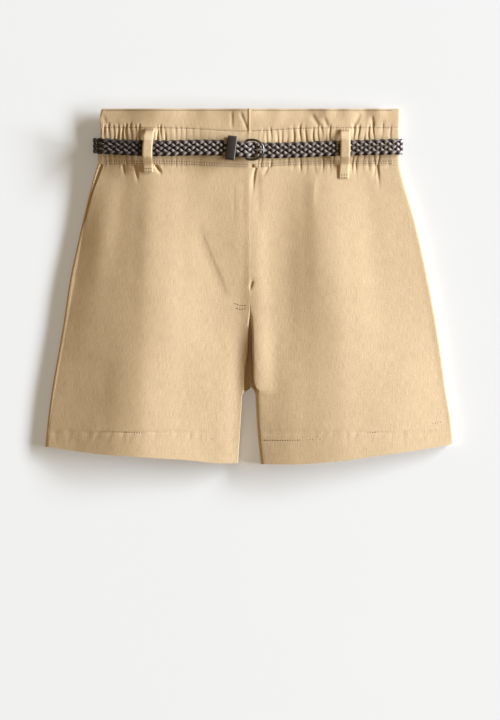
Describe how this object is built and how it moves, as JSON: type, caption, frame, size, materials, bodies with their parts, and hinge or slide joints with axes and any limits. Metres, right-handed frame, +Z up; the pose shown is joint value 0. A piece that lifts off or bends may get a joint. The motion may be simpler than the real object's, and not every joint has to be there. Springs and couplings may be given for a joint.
{
  "type": "belted shorts",
  "caption": "High-waist paper-bag shorts in tan cotton twill with a braided belt, laid flat on their back, front up.",
  "frame": {"origin": "on the surface that the shorts lie on, under the middle of their bounding box", "axes": "+X to the wearer's left, which is the right of the picture; +Y from the hems to the waist; +Z up from the surface, out of the front"},
  "size_m": [0.4547, 0.3982, 0.0232],
  "materials": {
    "twill": "matt tan cotton twill",
    "braid": "dark brown plaited leather, slightly shiny",
    "smooth_leather": "smooth dark brown leather",
    "steel": "polished wire"
  },
  "bodies": {
    "root": {"front_right": "twill", "front_left": "twill", "back_right": "twill", "back_left": "twill", "pocket_facing_right": "twill", "pocket_facing_left": "twill", "waistband_front_right": "twill", "waistband_front_left": "twill", "waistband_back": "twill", "loop_front_right": "twill", "loop_front_left": "twill", "loop_back_right": "twill", "loop_back_centre": "twill", "loop_back_left": "twill", "belt_strap": "braid", "belt_keeper": "smooth_leather", "buckle_frame": "steel", "buckle_prong": "steel"}
  },
  "joints": []
}
